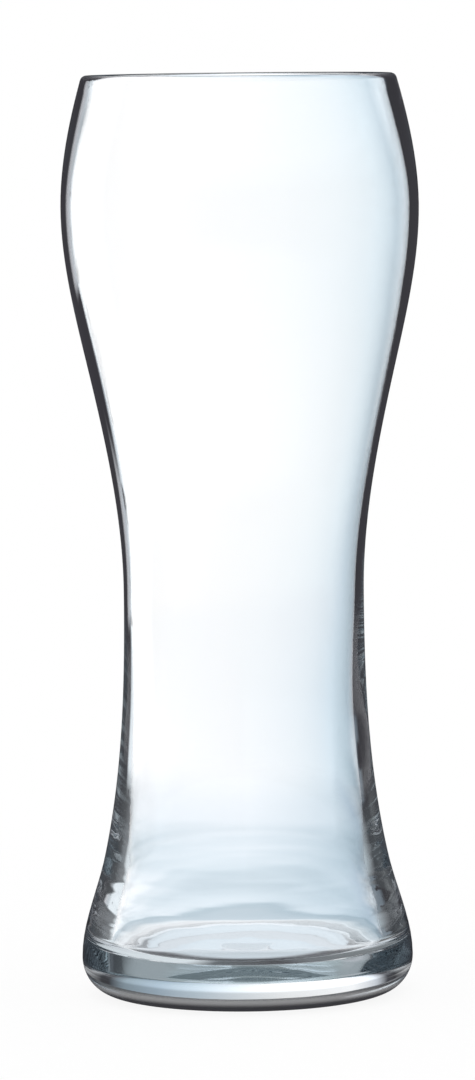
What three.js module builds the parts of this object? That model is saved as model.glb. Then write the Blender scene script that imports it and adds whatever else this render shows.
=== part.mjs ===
// A waisted half-litre beer glass: one thin blown wall on a thick solid foot, left open at the top.
// The glass is built as five zones, named from the table up: foot, skirt, waist, bowl and rim.
// Neighbouring zones meet face to face on level seams, where the real glass is fused.
// Millimetres, +Z up, with the origin on the table at the centre of the foot.
import * as THREE from 'three';

// Foot: a solid disc that stands on a narrow flat ring round a shallow hollow.
const FOOT_RADIUS = 36.5;
const FOOT_RISE = 8; // table to the widest part of the foot
const FOOT_EDGE = 7.3; // how far the rounded lower edge runs in under the foot
const STAND_WIDTH = 5; // width of the flat ring that touches the table
const PUNT_DEPTH = 1.6; // hollow under the foot, at its centre

// Outside of the wall, from the foot up: each rise is counted from the named height below it.
const FLOOR_RISE = 1.8; // widest part of the foot to the floor of the drinking space
const FLARE_RISE = 20.2; // floor to the middle of the lower flare
const FLARE_RADIUS = 31.3;
const FLARE_SLOPE = -0.22; // radius gained for each millimetre of height
const WAIST_RISE = 58.5;
const WAIST_RADIUS = 26.4;
const SHOULDER_RISE = 50.5;
const SHOULDER_RADIUS = 33.9;
const SHOULDER_SLOPE = 0.23;
const BELLY_RISE = 34;
const BELLY_RADIUS = 39.2;
const MOUTH_RISE = 27.5;
const MOUTH_RADIUS = 34.7;
const MOUTH_SLOPE = -0.28;

// Floor of the drinking space: flat in the middle, with a rounded corner that runs up into the bore.
const FLOOR_RADIUS = 27.4;
const CORNER_RADIUS = 2.5;
const CORNER_SLOPE = -0.2;

// Thickness of the wall, measured level. Between the floor and the waist the bore draws in twice:
// at the heel, where the thick glass of the foot ends, and at the neck, where the wall turns thin.
const HEEL_RISE = 10.2; // floor to the heel
const HEEL_WALL = 5.85;
const HEEL_SLOPE = -0.29;
const FLARE_WALL = 4.85;
const FLARE_BORE_SLOPE = -0.04;
const NECK_RISE = 32; // middle of the flare to the neck
const NECK_WALL = 2.65;
const NECK_SLOPE = -0.029;
const WAIST_WALL = 1.7;
const SHOULDER_WALL = 1.98;
const BELLY_WALL = 2.05;
const MOUTH_WALL = 3;

// How finely the round shapes are divided.
const SIDES = 48;
const WALL_STEPS = 11;
const BOWL_STEPS = 11;
const RIM_STEPS = 4;
const FOOT_STEPS = 2;
const ROUND_STEPS = 6;

// Clear glass: the thick parts look a little darker and bluer than the thin wall.
const THIN_GLASS = 0xe6eff5;
const THICK_GLASS = 0xc4d4de;
const GLASS_ROUGHNESS = 0.03;
const GLASS_OPACITY = 0.35;

const floorHeight = FOOT_RISE + FLOOR_RISE;
const heelHeight = floorHeight + HEEL_RISE;
const flareHeight = floorHeight + FLARE_RISE;
const neckHeight = flareHeight + NECK_RISE;
const waistHeight = flareHeight + WAIST_RISE;
const shoulderHeight = waistHeight + SHOULDER_RISE;
const bellyHeight = shoulderHeight + BELLY_RISE;
const mouthHeight = bellyHeight + MOUTH_RISE;

// Each seam lies midway between two of the heights that shape the wall.
const skirtTop = (flareHeight + waistHeight) / 2;
const waistTop = (waistHeight + shoulderHeight) / 2;
const bowlTop = (bellyHeight + mouthHeight) / 2;

const standRadius = FOOT_RADIUS - FOOT_EDGE;
const puntRadius = standRadius - STAND_WIDTH;
const lipRadius = MOUTH_WALL / 2;

// The floor's corner turns from level up to the lean of the bore above it.
const cornerLean = Math.atan(-CORNER_SLOPE);
const cornerMiddle = floorHeight + CORNER_RADIUS;
const cornerHeight = cornerMiddle + CORNER_RADIUS * Math.sin(cornerLean);
const cornerReach = FLOOR_RADIUS + CORNER_RADIUS * Math.cos(cornerLean);

const outside = [
  { height: FOOT_RISE, radius: FOOT_RADIUS, slope: 0 },
  { height: flareHeight, radius: FLARE_RADIUS, slope: FLARE_SLOPE },
  { height: waistHeight, radius: WAIST_RADIUS, slope: 0 },
  { height: shoulderHeight, radius: SHOULDER_RADIUS, slope: SHOULDER_SLOPE },
  { height: bellyHeight, radius: BELLY_RADIUS, slope: 0 },
  { height: mouthHeight, radius: MOUTH_RADIUS, slope: MOUTH_SLOPE },
];

const inside = [
  { height: cornerHeight, radius: cornerReach, slope: CORNER_SLOPE },
  { height: heelHeight, radius: radiusAt(outside, heelHeight) - HEEL_WALL, slope: HEEL_SLOPE },
  { height: flareHeight, radius: FLARE_RADIUS - FLARE_WALL, slope: FLARE_BORE_SLOPE },
  { height: neckHeight, radius: radiusAt(outside, neckHeight) - NECK_WALL, slope: NECK_SLOPE },
  { height: waistHeight, radius: WAIST_RADIUS - WAIST_WALL, slope: 0 },
  { height: shoulderHeight, radius: SHOULDER_RADIUS - SHOULDER_WALL, slope: SHOULDER_SLOPE },
  { height: bellyHeight, radius: BELLY_RADIUS - BELLY_WALL, slope: 0 },
  { height: mouthHeight, radius: MOUTH_RADIUS - MOUTH_WALL, slope: MOUTH_SLOPE },
];

// Radius of a wall at a height: a smooth cubic between the two stations around that height,
// which passes through their radii with their slopes.
function radiusAt(stations, height) {
  const upperIndex = stations.findIndex((station) => station.height >= height);
  const upper = stations[Math.max(upperIndex, 1)];
  const lower = stations[Math.max(upperIndex, 1) - 1];
  const span = upper.height - lower.height;
  const t = (height - lower.height) / span;
  const fromLower = (1 - t) ** 2 * ((1 + 2 * t) * lower.radius + t * span * lower.slope);
  const fromUpper = t ** 2 * ((3 - 2 * t) * upper.radius - (1 - t) * span * upper.slope);
  return fromLower + fromUpper;
}

// Points along a wall from one height to another, up or down.
function wallPoints(stations, start, end, steps) {
  const points = [];
  for (let step = 0; step <= steps; step += 1) {
    const height = THREE.MathUtils.lerp(start, end, step / steps);
    points.push(new THREE.Vector2(radiusAt(stations, height), height));
  }
  return points;
}

// Points along part of an ellipse, with its angles counted from straight out towards straight up.
function roundPoints(centreRadius, centreHeight, acrossRadius, upRadius, startAngle, endAngle) {
  const clockwise = endAngle < startAngle;
  const curve = new THREE.EllipseCurve(
    centreRadius, centreHeight, acrossRadius, upRadius, startAngle, endAngle, clockwise,
  );
  return curve.getPoints(ROUND_STEPS);
}

// Turns a section about the upright axis. The section runs up the outside and down the inside.
function turned(name, section, colour) {
  const geometry = new THREE.LatheGeometry(section, SIDES);
  geometry.rotateX(Math.PI / 2);
  const material = new THREE.MeshStandardMaterial({
    color: colour, roughness: GLASS_ROUGHNESS, metalness: 0, transparent: true, opacity: GLASS_OPACITY,
  });
  const mesh = new THREE.Mesh(geometry, material);
  mesh.name = name;
  return mesh;
}

// A ring of wall between two seams. Its section closes on itself.
function wallRing(name, bottom, top, steps, colour) {
  const up = wallPoints(outside, bottom, top, steps);
  const down = wallPoints(inside, top, bottom, steps);
  return turned(name, [...up, ...down, up[0].clone()], colour);
}

// The solid foot: hollow underside, flat ring, rounded edge, then the outside up to the floor.
function foot() {
  const underside = [];
  for (let step = 0; step <= ROUND_STEPS; step += 1) {
    const share = step / ROUND_STEPS;
    underside.push(new THREE.Vector2(puntRadius * share, PUNT_DEPTH * (1 - share ** 2)));
  }
  const edge = roundPoints(standRadius, FOOT_RISE, FOOT_EDGE, FOOT_RISE, -Math.PI / 2, 0);
  const side = wallPoints(outside, FOOT_RISE, floorHeight, FOOT_STEPS).slice(1);
  const section = [...underside, ...edge, ...side, new THREE.Vector2(0, floorHeight)];
  return turned('foot', section, THICK_GLASS);
}

// The thick flaring wall above the foot, with the rounded corner of the floor inside it.
function skirt() {
  const up = wallPoints(outside, floorHeight, skirtTop, WALL_STEPS);
  const down = wallPoints(inside, skirtTop, cornerHeight, WALL_STEPS);
  const corner = roundPoints(
    FLOOR_RADIUS, cornerMiddle, CORNER_RADIUS, CORNER_RADIUS, cornerLean, -Math.PI / 2,
  ).slice(1);
  return turned('skirt', [...up, ...down, ...corner, up[0].clone()], THICK_GLASS);
}

// The wall that draws in to the mouth and ends in a half-round lip.
function rim() {
  const up = wallPoints(outside, bowlTop, mouthHeight, RIM_STEPS);
  const lip = roundPoints(
    MOUTH_RADIUS - lipRadius, mouthHeight, lipRadius, lipRadius, 0, Math.PI,
  ).slice(1, -1);
  const down = wallPoints(inside, mouthHeight, bowlTop, RIM_STEPS);
  return turned('rim', [...up, ...lip, ...down, up[0].clone()], THIN_GLASS);
}

const glass = new THREE.Group();
glass.add(foot());
glass.add(skirt());
glass.add(wallRing('waist', skirtTop, waistTop, WALL_STEPS, THIN_GLASS));
glass.add(wallRing('bowl', waistTop, bowlTop, BOWL_STEPS, THIN_GLASS));
glass.add(rim());

export default glass;
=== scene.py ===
# %% [markdown]
# # A waisted beer glass
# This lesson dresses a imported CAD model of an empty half-litre beer glass. The CAD holds five solids,
# named from the table up: foot, skirt, waist, bowl and rim. On the real glass they are one piece with no
# seam, so here one smooth, closed skin takes their place. The rest of the lesson is light. Clear glass
# has no colour of its own: what shows is the bright ground behind it, bent by the wall, and cut off in
# crisp dark lines where the wall turns away.

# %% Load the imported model
import math

import bmesh
import bpy
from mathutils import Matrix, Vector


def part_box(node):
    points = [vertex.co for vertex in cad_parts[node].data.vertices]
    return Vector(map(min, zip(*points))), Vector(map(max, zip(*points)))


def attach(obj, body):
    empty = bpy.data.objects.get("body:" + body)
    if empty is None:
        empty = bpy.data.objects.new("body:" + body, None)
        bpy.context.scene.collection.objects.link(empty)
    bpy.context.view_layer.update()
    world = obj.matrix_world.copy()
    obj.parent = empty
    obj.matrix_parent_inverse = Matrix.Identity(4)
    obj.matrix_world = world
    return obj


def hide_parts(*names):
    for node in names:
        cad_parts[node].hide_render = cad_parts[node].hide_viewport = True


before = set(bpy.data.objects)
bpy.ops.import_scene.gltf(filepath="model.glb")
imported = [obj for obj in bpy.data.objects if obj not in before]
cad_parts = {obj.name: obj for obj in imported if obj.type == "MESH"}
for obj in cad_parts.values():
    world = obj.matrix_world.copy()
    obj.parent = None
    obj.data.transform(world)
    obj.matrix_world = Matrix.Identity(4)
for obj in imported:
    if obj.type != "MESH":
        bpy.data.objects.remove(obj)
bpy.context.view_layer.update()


def rounded(lengths):
    """Lengths in metres to the nearest tenth of a millimetre, for printing."""
    return [round(length, 4) for length in lengths]


print("CAD nodes:", sorted(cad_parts))

# %% [markdown]
# ## The driving sizes
# The boxes of the CAD solids give the overall height and the widest radii, so the skin can't drift away
# from the solids that it stands for. A box can't show a waist or the thickness of a wall, so those sizes
# are written here as real sizes, with the same values as in the CAD. Everything else is worked out from
# them.

# %% Sizes read from the CAD
MM = 0.001

_, foot_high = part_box("foot")
_, bowl_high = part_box("bowl")
_, rim_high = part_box("rim")

foot_radius = foot_high.x
belly_radius = bowl_high.x
glass_height = rim_high.z
floor_height = foot_high.z
print("glass: height %.4f, belly radius %.4f, foot radius %.4f" % (glass_height, belly_radius, foot_radius))

# %% Sizes of the outside
FOOT_RISE = 8 * MM  # table to the widest part of the foot
FOOT_EDGE = 7.3 * MM  # how far the rounded lower edge runs in under the foot
STAND_WIDTH = 5 * MM  # width of the flat ring that touches the table
PUNT_DEPTH = 1.6 * MM  # hollow under the foot
FLARE_HEIGHT = 30 * MM
FLARE_RADIUS = 31.3 * MM
FLARE_SLOPE = -0.22  # a slope is the radius gained for each metre of height
WAIST_HEIGHT = 88.5 * MM
WAIST_RADIUS = 26.4 * MM
SHOULDER_HEIGHT = 139 * MM
SHOULDER_RADIUS = 33.9 * MM
SHOULDER_SLOPE = 0.23
BELLY_HEIGHT = 173 * MM
MOUTH_RADIUS = 34.7 * MM
MOUTH_SLOPE = -0.28

stand_radius = foot_radius - FOOT_EDGE
punt_radius = stand_radius - STAND_WIDTH
print("standing ring: %.4f to %.4f" % (punt_radius, stand_radius))

# %% Sizes of the wall and the floor
FLOOR_RADIUS = 27.4 * MM
CORNER_RADIUS = 2.5 * MM  # rounding between the floor and the bore
CORNER_SLOPE = -0.2
HEEL_HEIGHT = 20 * MM  # where the bore spreads fastest towards the floor
HEEL_SLOPE = -0.29
HEEL_WALL = 5.85 * MM
FLARE_BORE_SLOPE = -0.04
FLARE_WALL = 4.85 * MM
NECK_HEIGHT = 62 * MM
NECK_SLOPE = -0.029
NECK_WALL = 2.65 * MM
WAIST_WALL = 1.7 * MM
SHOULDER_WALL = 1.98 * MM
BELLY_WALL = 2.05 * MM
MOUTH_WALL = 3 * MM

mouth_lean = math.atan(-MOUTH_SLOPE)  # how far the wall leans in at the mouth
lip_radius = MOUTH_WALL * math.cos(mouth_lean) / 2
mouth_height = glass_height - lip_radius
corner_lean = math.atan(-CORNER_SLOPE)
corner_height = floor_height + CORNER_RADIUS * (1 + math.sin(corner_lean))
corner_reach = FLOOR_RADIUS + CORNER_RADIUS * math.cos(corner_lean)
print("corner of the floor: %.4f out, %.4f up; lip radius %.4f" % (corner_reach, corner_height, lip_radius))

# %% [markdown]
# ## The section
# A blown glass is a body of revolution, so its whole shape is one section turned about the upright axis.
# The section could be drawn as a Bezier curve by hand, but then nobody could say how thick the wall is.
# Here each wall is a chain of stations, a height with its radius and slope, joined by smooth cubics. The
# walk round the section starts under the foot, climbs the outside, rounds the lip, comes down the bore
# and ends at the middle of the floor.

# %% A smooth wall through its stations


def wall_radius(stations, height):
    """Radius of a wall at a height: a cubic through the two stations around it, with their slopes."""
    above = next((i for i, station in enumerate(stations) if station[0] >= height), len(stations) - 1)
    low, high = stations[max(above, 1) - 1], stations[max(above, 1)]
    span = high[0] - low[0]
    t = (height - low[0]) / span
    from_low = (1 - t) ** 2 * ((1 + 2 * t) * low[1] + t * span * low[2])
    from_high = t**2 * ((3 - 2 * t) * high[1] - (1 - t) * span * high[2])
    return from_low + from_high


outside = [
    (FOOT_RISE, foot_radius, 0.0),
    (FLARE_HEIGHT, FLARE_RADIUS, FLARE_SLOPE),
    (WAIST_HEIGHT, WAIST_RADIUS, 0.0),
    (SHOULDER_HEIGHT, SHOULDER_RADIUS, SHOULDER_SLOPE),
    (BELLY_HEIGHT, belly_radius, 0.0),
    (mouth_height, MOUTH_RADIUS, MOUTH_SLOPE),
]
neck_radius = wall_radius(outside, NECK_HEIGHT) - NECK_WALL
heel_radius = wall_radius(outside, HEEL_HEIGHT) - HEEL_WALL
bore = [
    (corner_height, corner_reach, CORNER_SLOPE),
    (HEEL_HEIGHT, heel_radius, HEEL_SLOPE),
    (FLARE_HEIGHT, FLARE_RADIUS - FLARE_WALL, FLARE_BORE_SLOPE),
    (NECK_HEIGHT, neck_radius, NECK_SLOPE),
    (WAIST_HEIGHT, WAIST_RADIUS - WAIST_WALL, 0.0),
    (SHOULDER_HEIGHT, SHOULDER_RADIUS - SHOULDER_WALL, SHOULDER_SLOPE),
    (BELLY_HEIGHT, belly_radius - BELLY_WALL, 0.0),
    (mouth_height, MOUTH_RADIUS - MOUTH_WALL, MOUTH_SLOPE),
]
print("bore at the heel %.5f, at the neck %.5f" % (heel_radius, neck_radius))

# %% The underside and the outside
PUNT_STEPS = 12
EDGE_STEPS = 26
OUTSIDE_STEPS = 84
LIP_STEPS = 14
STRAIGHT_DOWN = -90  # degrees from straight out towards straight up
STRAIGHT_OUT = 0
HALF_TURN = 180


def wall_points(stations, start, end, steps):
    """Points along a wall in even steps of height."""
    heights = [start + (end - start) * i / steps for i in range(steps + 1)]
    return [(wall_radius(stations, height), height) for height in heights]


def round_points(centre, across, up, start, end, steps):
    """Points along part of an ellipse, with angles in degrees from straight out towards straight up."""
    angles = [math.radians(start + (end - start) * i / steps) for i in range(steps + 1)]
    return [(centre[0] + across * math.cos(a), centre[1] + up * math.sin(a)) for a in angles]


punt_shares = [i / PUNT_STEPS for i in range(PUNT_STEPS + 1)]
underside = [(punt_radius * share, PUNT_DEPTH * (1 - share**2)) for share in punt_shares]
edge_middle = (stand_radius, FOOT_RISE)
foot_edge = round_points(edge_middle, FOOT_EDGE, FOOT_RISE, STRAIGHT_DOWN, STRAIGHT_OUT, EDGE_STEPS)
lip_rise = lip_radius * math.sin(mouth_lean)
outer_wall = wall_points(outside, FOOT_RISE, mouth_height + lip_rise, OUTSIDE_STEPS)
lip_middle = (MOUTH_RADIUS - MOUTH_WALL / 2, mouth_height)
lip_start = math.degrees(mouth_lean)
lip = round_points(lip_middle, lip_radius, lip_radius, lip_start, lip_start + HALF_TURN, LIP_STEPS)
print("outside points:", len(underside) + len(foot_edge) + len(outer_wall) + len(lip))

# %% The bore and the floor
RIPPLE_TOP = 62 * MM  # above this the bore is calm and needs fewer points
BOWL_STEPS = 52
SKIRT_STEPS = 104
CORNER_STEPS = 10
FLOOR_STEPS = 24
RING_STEP = 7.5 * MM  # from one ring of the floor to the next
RING_DEPTH = 0.07 * MM


def floor_ring(radius):
    """Height of the faint rings that the mould leaves on the floor: they fade towards its edge."""
    fade = 1 - (radius / FLOOR_RADIUS) ** 2
    return RING_DEPTH * fade * (math.cos(math.tau * radius / RING_STEP) - 1) / 2


upper_bore = wall_points(bore, mouth_height - lip_rise, RIPPLE_TOP, BOWL_STEPS)
lower_bore = wall_points(bore, RIPPLE_TOP, corner_height, SKIRT_STEPS)
corner_middle = (FLOOR_RADIUS, floor_height + CORNER_RADIUS)
corner_start = math.degrees(corner_lean)
corner = round_points(corner_middle, CORNER_RADIUS, CORNER_RADIUS, corner_start, STRAIGHT_DOWN, CORNER_STEPS)
floor_radii = [FLOOR_RADIUS * (1 - i / FLOOR_STEPS) for i in range(FLOOR_STEPS + 1)]
inner_floor = [(radius, floor_height + floor_ring(radius)) for radius in floor_radii]
outer_part = underside + foot_edge + outer_wall[1:] + lip[1:-1]
inner_part = upper_bore + lower_bore[1:] + corner[1:] + inner_floor[1:]
section = outer_part + inner_part
print("section points:", len(section))

# %% [markdown]
# ## How a blown wall departs from the drawing
# No blown wall is even. On this glass the bore wanders a third of a millimetre off the axis between skirt
# and bowl, which makes the dark line at one side wider than at the other, and the thick glass above the
# floor chills in fine level ripples. Both are only on the inside, because the outside lay against a
# mould. They are kept as two values on each point of the section, so the turning step can use them: how
# far the point drifts, and how much it ripples.

# %% Drift and ripple of each section point
DRIFT = 0.35 * MM
DRIFT_MIDDLE = 97 * MM
DRIFT_LENGTH = 116 * MM
CALM_HEIGHT = 58 * MM
FULL_RIPPLE_HEIGHT = 26 * MM


def bore_drift(height):
    """Sideways shift of the bore: one way above the waist, the other way below it, none at the ends."""
    from_middle = height - DRIFT_MIDDLE
    shift = DRIFT * math.sin(math.tau * from_middle / DRIFT_LENGTH)
    return shift if abs(from_middle) < DRIFT_LENGTH / 2 else 0.0


def skirt_ripple(height):
    """Share of the ripple: all of it low in the skirt, none from the waist up."""
    share = (CALM_HEIGHT - height) / (CALM_HEIGHT - FULL_RIPPLE_HEIGHT)
    return max(0.0, min(1.0, share)) ** 2


drifts = [0.0] * len(outer_part) + [bore_drift(height) for _, height in inner_part]
lower_start = len(outer_part) + len(upper_bore)
ripples = [0.0] * len(section)
for index in range(lower_start, lower_start + len(lower_bore) - 1):
    ripples[index] = skirt_ripple(section[index][1])
print("largest drift: %.5f, points that ripple: %d" % (max(drifts), sum(share > 0 for share in ripples)))

# %% Section as a chain of edges
section_mesh = bpy.data.meshes.new("glass_section")
section_points = [(radius, 0.0, height) for radius, height in section]
section_mesh.from_pydata(section_points, [(i, i + 1) for i in range(len(section) - 1)], [])
for name, values in (("drift", drifts), ("ripple", ripples)):
    attribute = section_mesh.attributes.new(name, "FLOAT", "POINT")
    attribute.data.foreach_set("value", values)
section_object = bpy.data.objects.new("glass_section", section_mesh)
bpy.context.scene.collection.objects.link(section_object)
print("section chain:", len(section_mesh.edges), "edges")

# %% [markdown]
# ## Helpers for node trees
# The turning, the glass and the studio are all node trees. A node is easiest to read when its settings
# and its inputs stand on one line, so one helper adds a node and feeds each input with a number or with
# another node's output. The others are sums that come back again and again: the product of several
# shares, the opposite of a share, a share that rises smoothly over a range, and a blend of two colours by
# a share.

# %% Nodes, shares and blends


def add_node(tree, kind, inputs=None, **settings):
    node = tree.nodes.new(kind)
    for name, value in settings.items():
        setattr(node, name, value)
    for key, value in (inputs or {}).items():
        if isinstance(value, bpy.types.NodeSocket):
            tree.links.new(value, node.inputs[key])
        else:
            node.inputs[key].default_value = value
    return node


def calculate(tree, operation, *values):
    return add_node(tree, "ShaderNodeMath", dict(enumerate(values)), operation=operation).outputs[0]


def product(tree, first, *others):
    for factor in others:
        first = calculate(tree, "MULTIPLY", first, factor)
    return first


def opposite(tree, share):
    return calculate(tree, "SUBTRACT", 1.0, share)


def smooth_step(tree, value, start, end):
    """A share that goes smoothly from none at the start to all at the end, whichever of them is larger."""
    limits = {"Value": value, "From Min": start, "From Max": end}
    return add_node(tree, "ShaderNodeMapRange", limits, interpolation_type="SMOOTHSTEP").outputs[0]


def blend(tree, kind, share, first, second):
    inputs = {"Factor": share, "A": first, "B": second}
    return add_node(tree, "ShaderNodeMix", inputs, data_type="RGBA", blend_type=kind).outputs["Result"]


node_helpers = (add_node, calculate, product, opposite, smooth_step, blend)
print("node helpers:", [helper.__name__ for helper in node_helpers])

# %% [markdown]
# ## Clear glass
# The glass is a Principled shader with full transmission. The melt holds a trace of iron, so thick glass
# looks a little grey-blue: that is a plain Volume Absorption. Fire-polishing leaves a surface that is
# almost, but not quite, even: a slow swell, strongest low in the skirt, that the eye reads as hand-made
# glass. Under the foot lie fine pits. Both are far finer than the mesh, so a bump follows two noises. The
# foot's lowest edge slides over tables and is scuffed, so there the outside is a little rough. Seen from
# outside, that edge is also painted dark grey and nearly opaque: painted shade where the foot meets the
# table.

# %% Swell and pits of the surface
SWELL_SCALE = 90.0
SWELL_DETAIL = 1.0
SWELL_DEPTH = 0.05 * MM
SWELL_BOTTOM = 20 * MM  # the whole swell up to here
SWELL_TOP = 45 * MM
SWELL_SHARE = 0.08  # how much of the swell is left from there up
PIT_SCALE = 260.0
PIT_DETAIL = 2.0
PIT_DEPTH = 0.02 * MM
PIT_TOP = 2.5 * MM
PIT_REACH = 29 * MM


def surface_relief(tree, place, height, radius):
    """How far the surface stands out: the slow swell, and the pits under the foot."""
    slow = {"Vector": place, "Scale": SWELL_SCALE, "Detail": SWELL_DETAIL}
    slow_noise = add_node(tree, "ShaderNodeTexNoise", slow).outputs[0]
    calm = product(tree, smooth_step(tree, height, SWELL_BOTTOM, SWELL_TOP), 1.0 - SWELL_SHARE)
    swell = product(tree, slow_noise, opposite(tree, calm), SWELL_DEPTH)
    fine = {"Vector": place, "Scale": PIT_SCALE, "Detail": PIT_DETAIL}
    fine_noise = add_node(tree, "ShaderNodeTexNoise", fine).outputs[0]
    low = calculate(tree, "LESS_THAN", height, PIT_TOP)
    inside = calculate(tree, "LESS_THAN", radius, PIT_REACH)
    pits = product(tree, fine_noise, low, inside, PIT_DEPTH)
    return calculate(tree, "ADD", swell, pits)


print("relief in metres: swell %.6f, pits %.6f" % (SWELL_DEPTH, PIT_DEPTH))

# %% Scuffed edge of the foot, with painted shade
# heights of the scuff and its painted shade: none above the first, all below the second
SCUFF_AND_SHADE_TOP = 4.2 * MM
SCUFF_AND_SHADE_BOTTOM = 1.3 * MM  # fully scuffed from here down
SCUFF_ROUGHNESS = 0.3
# painted shade: the scuffed edge keeps little clearness and turns dark grey, for the table's shade at the
# foot
SCUFF_SHADE_CLEARNESS = 0.02
SCUFF_SHADE_GREY = (0.04, 0.04, 0.045, 1.0)


def foot_scuff_and_shade(tree, height, radius):
    """Share of the scuff and its painted shade: on the rounded lower edge outside the standing ring, and
    only from outside.
    """
    low = smooth_step(tree, height, SCUFF_AND_SHADE_TOP, SCUFF_AND_SHADE_BOTTOM)
    beyond_ring = calculate(tree, "GREATER_THAN", radius, stand_radius)
    from_inside = add_node(tree, "ShaderNodeNewGeometry").outputs["Backfacing"]
    return product(tree, low, beyond_ring, opposite(tree, from_inside))


print("scuff in metres: %.4f up, from radius %.4f" % (SCUFF_AND_SHADE_TOP, stand_radius))

# %% Make the glass
GLASS_IOR = 1.5
GLASS_TINT = (0.6, 0.8, 0.92, 1.0)
GLASS_DENSITY = 2.0
WHITE = (1.0, 1.0, 1.0, 1.0)
LEVEL = (1.0, 1.0, 0.0)  # keeps the level part of a place and drops its height


def clear_glass():
    material = bpy.data.materials.new("clear_glass")
    material.use_nodes = True
    tree = material.node_tree
    shader = tree.nodes["Principled BSDF"].inputs
    # clear all over to begin with: the scuff and its painted shade then take over where they lie
    clear = {"Base Color": WHITE, "Roughness": 0.0, "IOR": GLASS_IOR, "Transmission Weight": 1.0}
    for name, value in clear.items():
        shader[name].default_value = value
    place = add_node(tree, "ShaderNodeTexCoord").outputs["Object"]
    height = add_node(tree, "ShaderNodeSeparateXYZ", {0: place}).outputs["Z"]
    level = add_node(tree, "ShaderNodeVectorMath", {0: place, 1: LEVEL}, operation="MULTIPLY").outputs[0]
    radius = add_node(tree, "ShaderNodeVectorMath", {0: level}, operation="LENGTH").outputs["Value"]
    relief = surface_relief(tree, place, height, radius)
    bump = add_node(tree, "ShaderNodeBump", {"Height": relief, "Distance": 1.0, "Strength": 1.0})
    # the scuff roughens the edge; its dark grey and lost clearness are painted shade
    scuff_and_shade = foot_scuff_and_shade(tree, height, radius)
    uneven = {
        "Normal": bump.outputs[0],
        "Base Color": blend(tree, "MIX", scuff_and_shade, WHITE, SCUFF_SHADE_GREY),
        "Roughness": product(tree, scuff_and_shade, scuff_and_shade, SCUFF_ROUGHNESS),
        "Transmission Weight": opposite(tree, product(tree, scuff_and_shade, 1.0 - SCUFF_SHADE_CLEARNESS)),
    }
    for name, output in uneven.items():
        tree.links.new(output, shader[name])
    absorb = add_node(tree, "ShaderNodeVolumeAbsorption", {"Color": GLASS_TINT, "Density": GLASS_DENSITY})
    tree.links.new(absorb.outputs["Volume"], tree.nodes["Material Output"].inputs["Volume"])
    return material


glass_material = clear_glass()
print("glass nodes:", len(glass_material.node_tree.nodes))

# %% [markdown]
# ## Turning the section
# The Screw modifier turns a profile too, but it can't ripple the bore as it goes. A Geometry Nodes tree
# can: it lays out a grid with one column for each side and one row for each section point, then moves
# each grid point to its place round the axis. The rows at the axis and the first and last columns fall
# together and are welded, so the skin is closed with no seam.

# %% The turning tree: inputs and section values
TURNING_INPUTS = {
    "Section": "NodeSocketGeometry",
    "Sides": "NodeSocketInt",
    "Ripple depth": "NodeSocketFloat",
    "Ripples each metre up": "NodeSocketFloat",
    "Ripples each metre round": "NodeSocketFloat",
    "Seed": "NodeSocketFloat",
    "Glass": "NodeSocketMaterial",
}


def section_value(tree, section_socket, row, kind, value):
    """Reads a value from the section point that belongs to a row of the grid."""
    inputs = {"Geometry": section_socket, "Value": value, "Index": row}
    return add_node(tree, "GeometryNodeSampleIndex", inputs, data_type=kind, domain="POINT").outputs[0]


def named_value(tree, name):
    node = add_node(tree, "GeometryNodeInputNamedAttribute", {"Name": name}, data_type="FLOAT")
    return node.outputs["Attribute"]


def new_turning_tree():
    tree = bpy.data.node_groups.new("turn_section", "GeometryNodeTree")
    tree.is_modifier = True
    for name, kind in TURNING_INPUTS.items():
        tree.interface.new_socket(name, in_out="INPUT", socket_type=kind)
    tree.interface.new_socket("Skin", in_out="OUTPUT", socket_type="NodeSocketGeometry")
    return tree


turning = new_turning_tree()
print("turning inputs:", list(TURNING_INPUTS))

# %% The turning tree: grid, rows and angles
given = add_node(turning, "NodeGroupInput").outputs
section_size = add_node(
    turning, "GeometryNodeAttributeDomainSize", {"Geometry": given["Section"]}, component="MESH"
)
point_count = section_size.outputs["Point Count"]
last_row = calculate(turning, "SUBTRACT", point_count, 1)
grid = add_node(
    turning,
    "GeometryNodeMeshGrid",
    {
        "Size X": math.tau,
        "Size Y": last_row,
        "Vertices X": calculate(turning, "ADD", given["Sides"], 1),
        "Vertices Y": point_count,
    },
)
here = add_node(turning, "GeometryNodeInputPosition").outputs[0]
grid_place = add_node(turning, "ShaderNodeSeparateXYZ", {0: here}).outputs
angle = calculate(turning, "ADD", grid_place["X"], math.pi)
along = calculate(turning, "ADD", grid_place["Y"], calculate(turning, "DIVIDE", last_row, 2))
row = add_node(turning, "FunctionNodeFloatToInt", {0: along}, rounding_mode="ROUND").outputs[0]
cosine = calculate(turning, "COSINE", angle)
sine = calculate(turning, "SINE", angle)
print("grid nodes:", len(turning.nodes))

# %% The turning tree: radius with ripple
RIPPLE_DETAIL = 1.0
NOISE_MIDDLE = 0.5  # taken off the noise, so that it swings both ways

point = section_value(turning, given["Section"], row, "FLOAT_VECTOR", here)
spot = add_node(turning, "ShaderNodeSeparateXYZ", {0: point}).outputs
ripple_share = section_value(turning, given["Section"], row, "FLOAT", named_value(turning, "ripple"))
round_scale = product(turning, spot["X"], given["Ripples each metre round"])
noise_place = add_node(
    turning,
    "ShaderNodeCombineXYZ",
    {
        "X": product(turning, round_scale, cosine),
        "Y": product(turning, round_scale, sine),
        "Z": product(turning, spot["Z"], given["Ripples each metre up"]),
    },
)
ripple_noise = add_node(
    turning,
    "ShaderNodeTexNoise",
    {"Vector": noise_place.outputs[0], "W": given["Seed"], "Scale": 1.0, "Detail": RIPPLE_DETAIL},
    noise_dimensions="4D",
)
wave = calculate(turning, "SUBTRACT", ripple_noise.outputs[0], NOISE_MIDDLE)
ripple = product(turning, wave, ripple_share, given["Ripple depth"])
turned_radius = calculate(turning, "ADD", spot["X"], ripple)
print("ripple nodes:", len(turning.nodes))

# %% The turning tree: drift, weld and paint
WELD_DISTANCE = 0.001 * MM

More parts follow.
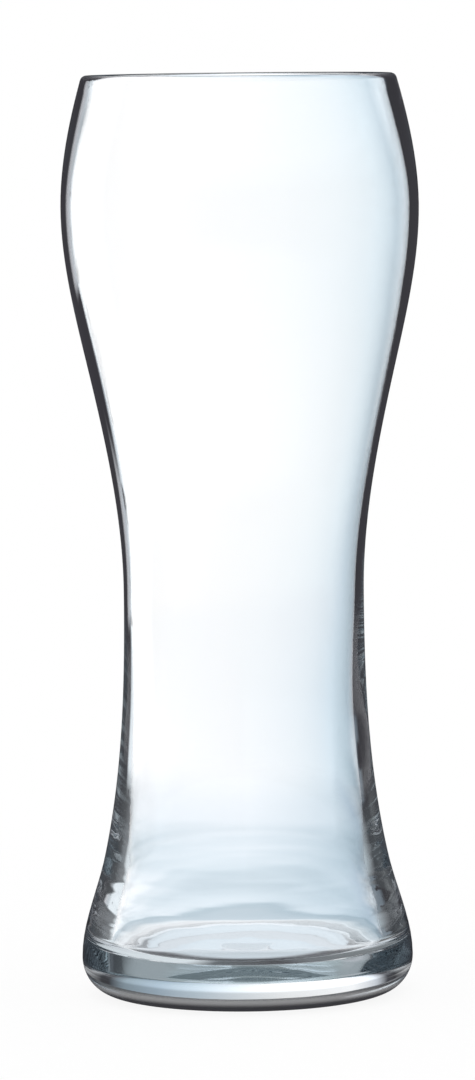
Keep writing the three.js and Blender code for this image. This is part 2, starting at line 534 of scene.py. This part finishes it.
drift_here = section_value(turning, given["Section"], row, "FLOAT", named_value(turning, "drift"))
turned_place = add_node(
    turning,
    "ShaderNodeCombineXYZ",
    {
        "X": calculate(turning, "ADD", product(turning, turned_radius, cosine), drift_here),
        "Y": product(turning, turned_radius, sine),
        "Z": spot["Z"],
    },
)
moved = {"Geometry": grid.outputs["Mesh"], "Position": turned_place.outputs[0]}
shaped = add_node(turning, "GeometryNodeSetPosition", moved).outputs[0]
closing = {"Geometry": shaped, "Distance": WELD_DISTANCE}
welded = add_node(turning, "GeometryNodeMergeByDistance", closing).outputs[0]
smooth = add_node(turning, "GeometryNodeSetShadeSmooth", {"Geometry": welded}).outputs[0]
realized = add_node(turning, "GeometryNodeRealizeInstances", {"Geometry": smooth}).outputs[0]
paint = {"Geometry": realized, "Material": given["Glass"]}
painted = add_node(turning, "GeometryNodeSetMaterial", paint).outputs[0]
add_node(turning, "NodeGroupOutput", {"Skin": painted})
print("turning tree:", len(turning.nodes), "nodes")

# %% Turn the glass
turning_values = {
    "Sides": 256,
    "Ripple depth": 0.11 * MM,
    "Ripples each metre up": 450.0,
    "Ripples each metre round": 34.0,
    "Seed": 3.0,
    "Glass": glass_material,
}
modifier = section_object.modifiers.new("turn_section", "NODES")
modifier.node_group = turning
for item in turning.interface.items_tree:
    if item.in_out == "INPUT" and item.name in turning_values:
        modifier[item.identifier] = turning_values[item.name]
bpy.context.view_layer.update()
evaluated = section_object.evaluated_get(bpy.context.evaluated_depsgraph_get())
skin_mesh = bpy.data.meshes.new_from_object(evaluated)
skin_mesh.name = "glass_skin"
section_object.modifiers.remove(modifier)
bpy.data.objects.remove(section_object)
glass_skin = bpy.data.objects.new("glass_skin", skin_mesh)
bpy.context.scene.collection.objects.link(glass_skin)
print("skin points:", len(skin_mesh.vertices))

# %% Measure the skin and put it in place of the solids
ML = 1e-6  # a millilitre in cubic metres

probe = bmesh.new()
probe.from_mesh(skin_mesh)
open_edges = sum(not edge.is_manifold for edge in probe.edges)
glass_volume = probe.calc_volume(signed=True)
triangles = sum(len(face.verts) - 2 for face in probe.faces)
probe.free()
print("open edges: %d, triangles: %d, glass: %.1f ml" % (open_edges, triangles, glass_volume / ML))

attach(glass_skin, "root")
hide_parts("foot", "skirt", "waist", "bowl", "rim")

# %% [markdown]
# ## The floor
# The glass stands on a plain white floor with no edge, like a sweep of paper: the disc fades into the
# white world before it ends. To the camera it is a little matte white, which takes the shadow, and a glow
# that keeps it white. Through the glass the eye looks at a small patch of floor very close to the foot,
# which the glass itself shades. That shade could be left to the light, but clear glass throws only noisy,
# slow caustics, so it is painted on the floor as tones that show only through the glass. Each row of
# tones has a few stops, set while comparing renders with the photograph. Three helpers serve such
# rows: a ramp of tones over a value, a share that rises and falls again, and the direction round the
# glass.

# %% Ramps of tones, bands and directions


def tone_ramp(tree, value, stops):
    """A colour ramp over a value, from stops that each hold the value and its tone."""
    low, high = stops[0][0], stops[-1][0]
    limits = {"Value": value, "From Min": low, "From Max": high}
    share = add_node(tree, "ShaderNodeMapRange", limits).outputs[0]
    node = add_node(tree, "ShaderNodeValToRGB", {0: share})
    elements = node.color_ramp.elements
    elements.remove(elements[1])
    for index, (stop, colour) in enumerate(stops):
        position = (stop - low) / (high - low)
        element = elements[0] if index == 0 else elements.new(position)
        element.position = position
        element.color = (*colour, 1.0)
    return node.outputs[0]


def band(tree, value, start, full, end, none):
    """A share that rises smoothly to all between start and full, and falls again between end and none."""
    return product(tree, smooth_step(tree, value, start, full), smooth_step(tree, value, none, end))


def turn_from_behind(tree, spot):
    """Degrees round the glass from straight behind it, with the right side positive."""
    return calculate(tree, "DEGREES", calculate(tree, "ARCTAN2", spot["X"], spot["Y"]))


print("tone helpers:", [helper.__name__ for helper in (tone_ramp, band, turn_from_behind)])

# %% [markdown]
# ### Floor seen straight through the glass
# Light that only passes through the glass shows a pale ring of floor round the foot, a cool shade outside
# it, and paler floor again with distance. Behind the glass the left is brighter and the right is bluer,
# as in the studio round it, and a stretch of floor at the far left is lifted a little more. In front of
# the glass the floor is plain, and a dark line shows where the front of the standing ring rests on it.

# %% Tones of the floor, straight
FLOOR_TONES = [  # millimetres from the axis, tone
    (0, (0.4, 0.47, 0.52)),
    (16, (0.46, 0.53, 0.58)),
    (26, (0.8, 0.84, 0.87)),
    (32, (0.85, 0.88, 0.91)),
    (41, (0.74, 0.78, 0.81)),
    (47, (0.47, 0.55, 0.61)),
    (80, (0.42, 0.51, 0.57)),
    (110, (0.6, 0.68, 0.74)),
    (150, (0.76, 0.81, 0.86)),
    (350, (0.9, 0.91, 0.93)),
]
ACROSS_TONES = [  # millimetres to the right, tone that multiplies the one above
    (-120, (1.4, 1.38, 1.36)),
    (-60, (1.12, 1.11, 1.1)),
    (-30, (1.02, 1.02, 1.02)),
    (0, (1.0, 1.0, 1.0)),
    (50, (0.66, 0.75, 0.8)),
    (70, (0.52, 0.62, 0.7)),
    (120, (0.7, 0.76, 0.8)),
]
BEHIND = (-20, 20)  # millimetres back from the axis
IN_FRONT = (0, -30)
CLEAR_OF_FOOT = (36, 47)  # millimetres from the axis
FRONT_FLOOR = (0.78, 0.82, 0.85, 1.0)
CONTACT_RING = (14, 20, 29, 32)  # millimetres from the axis
CONTACT_FRONT = (0, -8)  # millimetres back from the axis
CONTACT_SHADE = (0.02, 0.02, 0.025, 1.0)
LEFT_TURN = (-100, -75, -46, -34)  # degrees round from straight behind
LEFT_REACH = (50, 115, 160, 220)  # millimetres from the axis
LEFT_LIFT = (1.42, 1.32, 1.26, 1.0)


def floor_straight(tree, spot, distance, turn):
    """Tone of the floor for light that only passed through the glass."""
    tone = tone_ramp(tree, distance, FLOOR_TONES)
    behind = smooth_step(tree, spot["Y"], *BEHIND)
    tone = blend(tree, "MULTIPLY", behind, tone, tone_ramp(tree, spot["X"], ACROSS_TONES))
    beyond_foot = smooth_step(tree, distance, *CLEAR_OF_FOOT)
    in_front = product(tree, smooth_step(tree, spot["Y"], *IN_FRONT), beyond_foot)
    tone = blend(tree, "MIX", in_front, tone, FRONT_FLOOR)
    front_ring = smooth_step(tree, spot["Y"], *CONTACT_FRONT)
    contact = product(tree, band(tree, distance, *CONTACT_RING), front_ring)
    tone = blend(tree, "MIX", contact, tone, CONTACT_SHADE)
    at_left = product(tree, band(tree, turn, *LEFT_TURN), band(tree, distance, *LEFT_REACH))
    return blend(tree, "MULTIPLY", at_left, tone, LEFT_LIFT)


print("straight floor tones: %d by distance, %d across" % (len(FLOOR_TONES), len(ACROSS_TONES)))

# %% [markdown]
# ### Floor seen by way of a mirror
# Where light meets the inside of the wall at a flat angle, the wall mirrors it, and it ends on another
# spot of the floor. Mirrored once, as at the sides of the foot and the skirt, it ends where the dark
# cards keep the floor dark, with paler gaps between them, so those tones go by the direction round the
# glass. Light that ends under the foot has tones that go across. Light that was mirrored many times is
# nearly spent.

# %% Tones of the floor, mirrored
MIRRORED_TONES = [  # millimetres from the axis, tone
    (0, (0.57, 0.63, 0.67)),
    (38, (0.57, 0.61, 0.65)),
    (60, (0.4, 0.42, 0.44)),
    (85, (0.08, 0.085, 0.09)),
    (150, (0.08, 0.085, 0.09)),
    (200, (0.52, 0.53, 0.55)),
    (350, (0.6, 0.6, 0.6)),
]
FOOT_SIDES = [  # degrees round from straight behind, tone close to the foot
    (-72, (0.25, 0.27, 0.28)),
    (-60, (0.18, 0.19, 0.2)),
    (-48, (0.05, 0.05, 0.05)),
    (-38, (0.36, 0.36, 0.37)),
    (-5, (0.45, 0.45, 0.46)),
    (12, (0.14, 0.14, 0.14)),
    (35, (0.04, 0.04, 0.04)),
    (90, (0.14, 0.14, 0.14)),
]
SKIRT_SIDES = [  # degrees round from straight behind, tone further off
    (-90, (0.3, 0.32, 0.34)),
    (-66, (0.7, 0.76, 0.8)),
    (-61, (0.6, 0.65, 0.68)),
    (-57, (0.17, 0.18, 0.19)),
    (-51, (0.13, 0.14, 0.15)),
    (-45, (0.08, 0.085, 0.09)),
    (-36, (0.06, 0.065, 0.07)),
    (-24, (0.04, 0.04, 0.045)),
    (22, (0.08, 0.085, 0.09)),
    (32, (0.1, 0.11, 0.115)),
    (38, (0.05, 0.055, 0.06)),
    (49, (0.045, 0.05, 0.055)),
    (53, (0.12, 0.13, 0.14)),
    (58, (0.22, 0.25, 0.27)),
    (64, (0.36, 0.42, 0.46)),
    (90, (0.1, 0.1, 0.1)),
]
UNDER_TONES = [  # millimetres to the right, tone under the foot
    (-40, (0.55, 0.6, 0.63)),
    (-15, (0.55, 0.6, 0.63)),
    (-8, (0.09, 0.1, 0.11)),
    (8, (0.05, 0.05, 0.055)),
    (15, (0.12, 0.13, 0.14)),
    (40, (0.18, 0.2, 0.21)),
]
print("mirrored floor tones:", len(MIRRORED_TONES), len(FOOT_SIDES), len(SKIRT_SIDES), len(UNDER_TONES))

# %% Floor that the glass mirrors
ONE_MIRROR = 1.5  # fewer mirrorings than this means just one
BOTH_WALLS = 3.0  # the foot or one wall is passed in two steps, both walls in four
SIDES_REACH = (40, 60)  # reaches are millimetres from the axis
SKIRT_REACH = (62, 80)
UNDER_REACH = (40, 36)
NEAR_REACH = (60, 45)
MANY_MIRRORS = (5, 8)
TRAPPED_MIRRORS = (9, 15)
TRAPPED_TONE = (0.05, 0.055, 0.06, 1.0)


def floor_mirrored(tree, spot, distance, turn, mirrors, passes):
    """Tone of the floor for light that was mirrored on its way through the glass."""
    tone = tone_ramp(tree, distance, MIRRORED_TONES)
    by_skirt = smooth_step(tree, distance, *SKIRT_REACH)
    foot, skirt = tone_ramp(tree, turn, FOOT_SIDES), tone_ramp(tree, turn, SKIRT_SIDES)
    sides = blend(tree, "MIX", by_skirt, foot, skirt)
    once = calculate(tree, "LESS_THAN", mirrors, ONE_MIRROR)
    once = product(tree, once, smooth_step(tree, distance, *SIDES_REACH))
    tone = blend(tree, "MIX", once, tone, sides)
    by_foot = calculate(tree, "LESS_THAN", passes, BOTH_WALLS)
    under = product(tree, by_foot, smooth_step(tree, distance, *UNDER_REACH))
    tone = blend(tree, "MIX", under, tone, tone_ramp(tree, spot["X"], UNDER_TONES))
    near = smooth_step(tree, distance, *NEAR_REACH)
    spent = product(tree, smooth_step(tree, mirrors, *MANY_MIRRORS), near)
    trapped = calculate(tree, "MAXIMUM", spent, smooth_step(tree, mirrors, *TRAPPED_MIRRORS))
    return blend(tree, "MIX", trapped, tone, TRAPPED_TONE)


print("trapped light dims from %d to %d mirrorings" % TRAPPED_MIRRORS)

# %% The floor's material
FLOOR_REACH = 350 * MM
FLOOR_FADE = 200 * MM
FLOOR_MATTE = 0.1
GROUND_LEVEL = 1.3  # makes up for what the surfaces of the glass reflect away


def white_floor():
    material = bpy.data.materials.new("white_floor")
    material.use_nodes = True
    tree = material.node_tree
    tree.nodes.clear()
    place = add_node(tree, "ShaderNodeTexCoord").outputs["Object"]
    in_mm = add_node(tree, "ShaderNodeVectorMath", {0: place, "Scale": 1 / MM}, operation="SCALE").outputs[0]
    spot = add_node(tree, "ShaderNodeSeparateXYZ", {0: in_mm}).outputs
    distance = add_node(tree, "ShaderNodeVectorMath", {0: in_mm}, operation="LENGTH").outputs["Value"]
    turn = turn_from_behind(tree, spot)
    path = add_node(tree, "ShaderNodeLightPath").outputs
    mirrors, passes = path["Glossy Depth"], path["Transmission Depth"]
    straight = floor_straight(tree, spot, distance, turn)
    reflected = floor_mirrored(tree, spot, distance, turn, mirrors, passes)
    tone = blend(tree, "MIX", calculate(tree, "MINIMUM", mirrors, 1.0), straight, reflected)
    shown = add_node(tree, "ShaderNodeEmission", {"Color": tone, "Strength": GROUND_LEVEL})
    matte = add_node(tree, "ShaderNodeBsdfDiffuse", {"Color": (FLOOR_MATTE, FLOOR_MATTE, FLOOR_MATTE, 1.0)})
    glow = add_node(tree, "ShaderNodeEmission", {"Strength": 1.0 - FLOOR_MATTE})
    plain = add_node(tree, "ShaderNodeAddShader", {0: matte.outputs[0], 1: glow.outputs[0]})
    by_glass = path["Is Transmission Ray"]
    lit = add_node(tree, "ShaderNodeMixShader", {0: by_glass, 1: plain.outputs[0], 2: shown.outputs[0]})
    fade = smooth_step(tree, distance, FLOOR_FADE / MM, FLOOR_REACH / MM)
    clear = add_node(tree, "ShaderNodeBsdfTransparent")
    faded = add_node(tree, "ShaderNodeMixShader", {0: fade, 1: lit.outputs[0], 2: clear.outputs[0]})
    add_node(tree, "ShaderNodeOutputMaterial", {"Surface": faded.outputs[0]})
    return material


floor_material = white_floor()
print("floor nodes:", len(floor_material.node_tree.nodes))

# %% Lay the floor
FLOOR_GAP = 0.3 * MM  # keeps the floor clear of the standing ring
FLOOR_SIDES = 96

floor_angles = [math.tau * i / FLOOR_SIDES for i in range(FLOOR_SIDES)]
floor_points = [(FLOOR_REACH * math.cos(a), FLOOR_REACH * math.sin(a), -FLOOR_GAP) for a in floor_angles]
floor_mesh = bpy.data.meshes.new("floor")
floor_mesh.from_pydata(floor_points, [], [tuple(range(FLOOR_SIDES))])
floor_mesh.materials.append(floor_material)
floor_object = bpy.data.objects.new("floor", floor_mesh)
bpy.context.scene.collection.objects.link(floor_object)
floor_object.visible_glossy = False
print("floor reach in metres:", FLOOR_REACH)

# %% [markdown]
# ## The studio
# Glass is photographed on a bright field: a white ground behind it, and dark cards all round. The middle
# of the wall shows the white ground. Near its sides the wall bends the view outwards, past the ground's
# edge, and past that the light is mirrored inside the wall and comes from the cards: this draws the crisp
# dark outline. Area lamps and black planes would do, but each ray through glass would have to find them.
# A world that answers by direction gives the same picture without noise. Its tones are listed too.
# The ground is brightest at the left, and a cool grey card leans in at the right. Below it the table
# begins. The solid foot is a strong lens, which shows the whole ground at once, so it has tones of its
# own with a dark edge at each side.

# %% Tones of the ground behind the walls
PLAIN = (0.95, 0.96, 0.97)
GROUND_TONES = [  # degrees round from straight behind, tone
    (-180, PLAIN),
    (-85, PLAIN),
    (-45, (1.3, 1.3, 1.3)),
    (-18, (1.5, 1.5, 1.5)),
    (-8, (0.98, 0.98, 0.98)),
    (-1, (0.9, 0.9, 0.9)),
    (6, (0.71, 0.81, 0.87)),
    (10, (0.58, 0.7, 0.78)),
    (14, (0.85, 0.97, 1.05)),
    (40, (0.9, 1.0, 1.08)),
    (85, PLAIN),
    (180, PLAIN),
]
TABLE_TONES = [  # degrees round from straight behind, tone
    (-180, PLAIN),
    (-85, PLAIN),
    (-20, (1.45, 1.45, 1.45)),
    (-8, (0.98, 0.98, 0.98)),
    (0, (0.85, 0.87, 0.89)),
    (9, (0.57, 0.68, 0.76)),
    (14, (0.5, 0.62, 0.7)),
    (20, (0.42, 0.54, 0.63)),
    (85, PLAIN),
    (180, PLAIN),
]
FOOT_TONES = [  # degrees round from straight behind, tone
    (-180, PLAIN),
    (-85, PLAIN),
    (-52, (0.05, 0.05, 0.055)),
    (-46, (0.08, 0.08, 0.09)),
    (-39, (0.8, 0.84, 0.9)),
    (-28, (1.25, 1.25, 1.25)),
    (-8, (1.05, 1.05, 1.05)),
    (12, (0.57, 0.66, 0.73)),
    (24, (0.38, 0.47, 0.55)),
    (37, (0.28, 0.35, 0.4)),
    (46, (0.05, 0.05, 0.055)),
    (52, (0.05, 0.05, 0.055)),
    (85, PLAIN),
    (180, PLAIN),
]
print("ground tones:", len(GROUND_TONES), len(TABLE_TONES), len(FOOT_TONES))

# %% Light that only passed through the glass
TABLE_RISE = (-5, -7.5)  # rises are degrees above level
FOOT_SHADE_RISE = (10, 6)
FOOT_SHADE = 0.35
FOOT_VIEW_RISE = (1.0, 3.5)
BLACK = (0.0, 0.0, 0.0, 1.0)


def ground_light(tree, turn, rise, passes):
    """The ground behind the walls, the table below it, and the ground as the solid foot shows it."""
    ground, table = tone_ramp(tree, turn, GROUND_TONES), tone_ramp(tree, turn, TABLE_TONES)
    walls = blend(tree, "MIX", smooth_step(tree, rise, *TABLE_RISE), ground, table)
    shade = product(tree, smooth_step(tree, rise, *FOOT_SHADE_RISE), FOOT_SHADE)
    foot = blend(tree, "MIX", shade, tone_ramp(tree, turn, FOOT_TONES), BLACK)
    by_foot = calculate(tree, "LESS_THAN", passes, BOTH_WALLS)
    by_foot = product(tree, by_foot, smooth_step(tree, rise, *FOOT_VIEW_RISE))
    return blend(tree, "MIX", by_foot, walls, foot)


print("the table's tones are full from %.1f degrees down" % TABLE_RISE[1])

# %% [markdown]
# ### The cards
# What the glass mirrors comes from the cards: dark at the level of the glass, paler overhead. Those
# behind and at the left are pale below as well, and those in front and at the right turn pale sooner
# towards the top. Light that never went in, and was only mirrored on the outside, finds the darkest card,
# so no haze lies on the glass.

# %% Dark cards all round
CARD_TONES = [  # degrees above level, tone behind and at the left
    (-90, (0.8, 0.8, 0.82)),
    (-35, (0.7, 0.7, 0.72)),
    (-26, (0.08, 0.078, 0.088)),
    (-15, (0.03, 0.029, 0.034)),
    (12, (0.03, 0.029, 0.034)),
    (30, (0.05, 0.05, 0.055)),
    (40, (0.2, 0.2, 0.21)),
    (50, (0.85, 0.85, 0.86)),
    (90, (0.85, 0.85, 0.86)),
]
FRONT_TONES = [  # degrees above level, tone in front and at the right
    (-90, (0.1, 0.1, 0.11)),
    (-15, (0.03, 0.029, 0.034)),
    (10, (0.03, 0.029, 0.034)),
    (14, (0.33, 0.34, 0.36)),
    (40, (0.45, 0.46, 0.48)),
    (52, (0.85, 0.85, 0.86)),
    (90, (0.85, 0.85, 0.86)),
]
CARDS_BEHIND = (-150, -90, 46, 50)  # degrees round from straight behind
OUTER_RISE = (10, 0)  # degrees above level
DARK_CARD = (0.04, 0.039, 0.045, 1.0)


def dark_cards(tree, turn, rise, stayed_out):
    behind = band(tree, turn, *CARDS_BEHIND)
    cards = tone_ramp(tree, rise, FRONT_TONES)
    cards = blend(tree, "MIX", behind, cards, tone_ramp(tree, rise, CARD_TONES))
    outer = product(tree, stayed_out, smooth_step(tree, rise, *OUTER_RISE))
    return blend(tree, "MIX", outer, cards, DARK_CARD)


print("card tones:", len(CARD_TONES), len(FRONT_TONES))

# %% [markdown]
# ### Flecks at the sides
# The thick sides of the skirt break the light into small chips. They could be cut as facets, but the real
# wall is smooth there: its ripples only scatter the view. So pale flecks stand at both sides of the
# ground, brighter at the left, and a noise that is longer than it is high chips pieces out of them. Low
# down only the flecks at the far left stay, and the rest is a dark gap.

# %% Pale flecks
FLECK_TONES = [  # degrees round from straight behind, tone
    (-85, (0.1, 0.1, 0.11)),
    (-60, (0.3, 0.33, 0.36)),
    (-52, (0.7, 0.76, 0.8)),
    (-38, (0.74, 0.8, 0.84)),
    (-34, (0.5, 0.55, 0.59)),
    (-27, (0.52, 0.53, 0.56)),
    (-23, (0.03, 0.03, 0.034)),
    (36, (0.03, 0.03, 0.034)),
    (42, (0.14, 0.17, 0.2)),
    (60, (0.18, 0.22, 0.25)),
    (85, (0.1, 0.1, 0.11)),
]
FLECK_TURN = (18, 22, 75, 85)  # degrees to either side of straight behind
FLECK_RISE = (-18, -14, 10, 14)  # degrees above level
CHIP_WIDTH = 12.0  # degrees round
CHIP_HEIGHT = 4.0  # degrees up
CHIP_DETAIL = 3.0
CHIP_TURN = (31, 37)  # degrees to either side of straight behind
CHIP_GRAIN = (0.45, 0.39)  # value of the noise
GAP_TURN = (-36, -32)  # degrees round from straight behind
GAP_RISE = (-6, -9)  # degrees above level


def side_flecks(tree, turn, apart, rise):
    """Share of the flecks, without the chips and the gap."""
    chip_across = calculate(tree, "DIVIDE", turn, CHIP_WIDTH)
    chip_up = calculate(tree, "DIVIDE", rise, CHIP_HEIGHT)
    chip_place = add_node(tree, "ShaderNodeCombineXYZ", {"X": chip_across, "Y": chip_up}).outputs[0]
    chips = {"Vector": chip_place, "Scale": 1.0, "Detail": CHIP_DETAIL}
    grain = add_node(tree, "ShaderNodeTexNoise", chips).outputs[0]
    chipped = product(tree, smooth_step(tree, apart, *CHIP_TURN), smooth_step(tree, grain, *CHIP_GRAIN))
    gap = product(tree, smooth_step(tree, turn, *GAP_TURN), smooth_step(tree, rise, *GAP_RISE))
    sides = product(tree, band(tree, apart, *FLECK_TURN), band(tree, rise, *FLECK_RISE))
    return product(tree, sides, opposite(tree, chipped), opposite(tree, gap))


print("fleck tones:", len(FLECK_TONES))

# %% [markdown]
# ### Trapped light, the bore and the mouth
# Light that runs on inside the thick glass is mirrored many times and comes out dim: a cool grey from
# above, and darker still from the level. Light that came through both walls and was mirrored on its way
# shows the pale bore, darker at the left, and from high up the cool white of the open mouth.

# %% Light that was mirrored on its way
TRAPPED_TONES = [  # degrees above level, tone
    (-90, (0.05, 0.055, 0.06)),
    (4, (0.05, 0.055, 0.06)),
    (12, (0.09, 0.1, 0.105)),
    (18, (0.25, 0.28, 0.29)),
    (40, (0.22, 0.25, 0.26)),
    (60, (0.13, 0.15, 0.155)),
    (90, (0.13, 0.15, 0.155)),
]
BORE_TONES = [  # degrees round from straight behind, tone
    (-65, (0.2, 0.22, 0.25)),
    (-20, (0.3, 0.33, 0.36)),
    (-8, (0.62, 0.66, 0.7)),
    (8, (0.66, 0.7, 0.74)),
    (25, (1.0, 1.0, 1.0)),
    (65, (1.0, 1.0, 1.0)),
]
ENTERED = 1.0  # fewer passes than this means that the light stayed outside
TRAPPED_SHARE = 0.8
DEEP_MIRRORS = (4, 6)
DEEP_RISE = (36, 46)  # rises are degrees above level
DEEP_TONE = (0.3, 0.35, 0.36, 1.0)
BORE_TURN = (70, 60)  # degrees to either side of straight behind
BORE_RISE = (-24, -20, 18, 26)
MOUTH_RISE = (34, 46)
MOUTH_TONE = (0.62, 0.7, 0.76, 1.0)


def card_light(tree, turn, rise, mirrors, passes):
    """Light from the cards, then what the flecks, the thick glass, the bore and the mouth make of it."""
    stayed_out = calculate(tree, "LESS_THAN", passes, ENTERED)
    apart = calculate(tree, "ABSOLUTE", turn)
    light = dark_cards(tree, turn, rise, stayed_out)
    flecks = product(tree, side_flecks(tree, turn, apart, rise), opposite(tree, stayed_out))
    light = blend(tree, "MIX", flecks, light, tone_ramp(tree, turn, FLECK_TONES))
    deep = product(tree, smooth_step(tree, mirrors, *DEEP_MIRRORS), smooth_step(tree, rise, *DEEP_RISE))
    light = blend(tree, "MIX", deep, light, DEEP_TONE)
    trapped = product(tree, smooth_step(tree, mirrors, *TRAPPED_MIRRORS), TRAPPED_SHARE)
    light = blend(tree, "MIX", trapped, light, tone_ramp(tree, rise, TRAPPED_TONES))
    by_walls = calculate(tree, "GREATER_THAN", passes, BOTH_WALLS)
    bore_view = product(tree, smooth_step(tree, apart, *BORE_TURN), band(tree, rise, *BORE_RISE), by_walls)
    light = blend(tree, "MIX", bore_view, light, tone_ramp(tree, turn, BORE_TONES))
    mouth_view = product(tree, by_walls, smooth_step(tree, rise, *MOUTH_RISE))
    return blend(tree, "MIX", mouth_view, light, MOUTH_TONE)


print("trapped tones: %d, bore tones: %d" % (len(TRAPPED_TONES), len(BORE_TONES)))

# %% Join them into a world


def studio_world():
    world = bpy.data.worlds.new("studio")
    world.use_nodes = True
    tree = world.node_tree
    tree.nodes.clear()
    ray = add_node(tree, "ShaderNodeTexCoord").outputs["Generated"]
    aim = add_node(tree, "ShaderNodeSeparateXYZ", {0: ray}).outputs
    turn = turn_from_behind(tree, aim)
    rise = calculate(tree, "DEGREES", calculate(tree, "ARCSINE", aim["Z"]))
    path = add_node(tree, "ShaderNodeLightPath").outputs
    mirrors, passes = path["Glossy Depth"], path["Transmission Depth"]
    straight = ground_light(tree, turn, rise, passes)
    reflected = card_light(tree, turn, rise, mirrors, passes)
    seen = blend(tree, "MIX", calculate(tree, "MINIMUM", mirrors, 1.0), straight, reflected)
    in_glass = add_node(tree, "ShaderNodeBackground", {"Color": seen, "Strength": GROUND_LEVEL})
    plain = add_node(tree, "ShaderNodeBackground", {"Color": WHITE, "Strength": 1.0})
    by_glass = calculate(tree, "MAXIMUM", path["Is Glossy Ray"], path["Is Transmission Ray"])
    choice = product(tree, by_glass, opposite(tree, path["Is Camera Ray"]))
    mix = add_node(tree, "ShaderNodeMixShader", {0: choice, 1: plain.outputs[0], 2: in_glass.outputs[0]})
    add_node(tree, "ShaderNodeOutputWorld", {"Surface": mix.outputs[0]})
    world.cycles.sampling_method = "NONE"
    return world


bpy.context.scene.world = studio_world()
print("studio nodes:", len(bpy.context.scene.world.node_tree.nodes))

# %% [markdown]
# ## The camera
# The photograph is a product shot from well back with a long lens: the mouth shows as a thin line, so the
# camera stands a little above it, and the floor of the drinking space opens into a slim ellipse.
# Distance, height, tilt and lens were found by fitting the glass's outline, and the small roll follows
# the lean of its axis in the picture.

# %% Place the camera
CAMERA_DISTANCE = 1.3387  # metres in front of the axis
CAMERA_HEIGHT = 0.2158  # metres above the table
CAMERA_TILT = math.radians(4.95)  # down from level
CAMERA_ROLL = math.radians(0.62)
LENS = 203.8  # millimetres, as is the sensor
SENSOR = 36.0

camera_data = bpy.data.cameras.new("camera")
camera_data.lens = LENS
camera_data.sensor_width = SENSOR
camera = bpy.data.objects.new("camera", camera_data)
camera.location = (0.0, -CAMERA_DISTANCE, CAMERA_HEIGHT)
camera.rotation_euler = (math.pi / 2 - CAMERA_TILT, CAMERA_ROLL, 0.0)
bpy.context.scene.collection.objects.link(camera)
bpy.context.scene.camera = camera
print("camera at", rounded(camera.location), "lens", LENS)

# %% [markdown]
# ## Light paths
# Light can run a long way inside a thick foot and up a wall, mirrored dozens of times before it leaves.
# With the usual few bounces such paths end black, as blots in the foot, so the scene allows many more.

# %% Let light run through the glass
GLASS_BOUNCES = 96

scene = bpy.context.scene
scene.view_settings.view_transform = "Standard"
scene.cycles.max_bounces = GLASS_BOUNCES
scene.cycles.transmission_bounces = GLASS_BOUNCES
scene.cycles.glossy_bounces = GLASS_BOUNCES
print("bounces:", GLASS_BOUNCES)
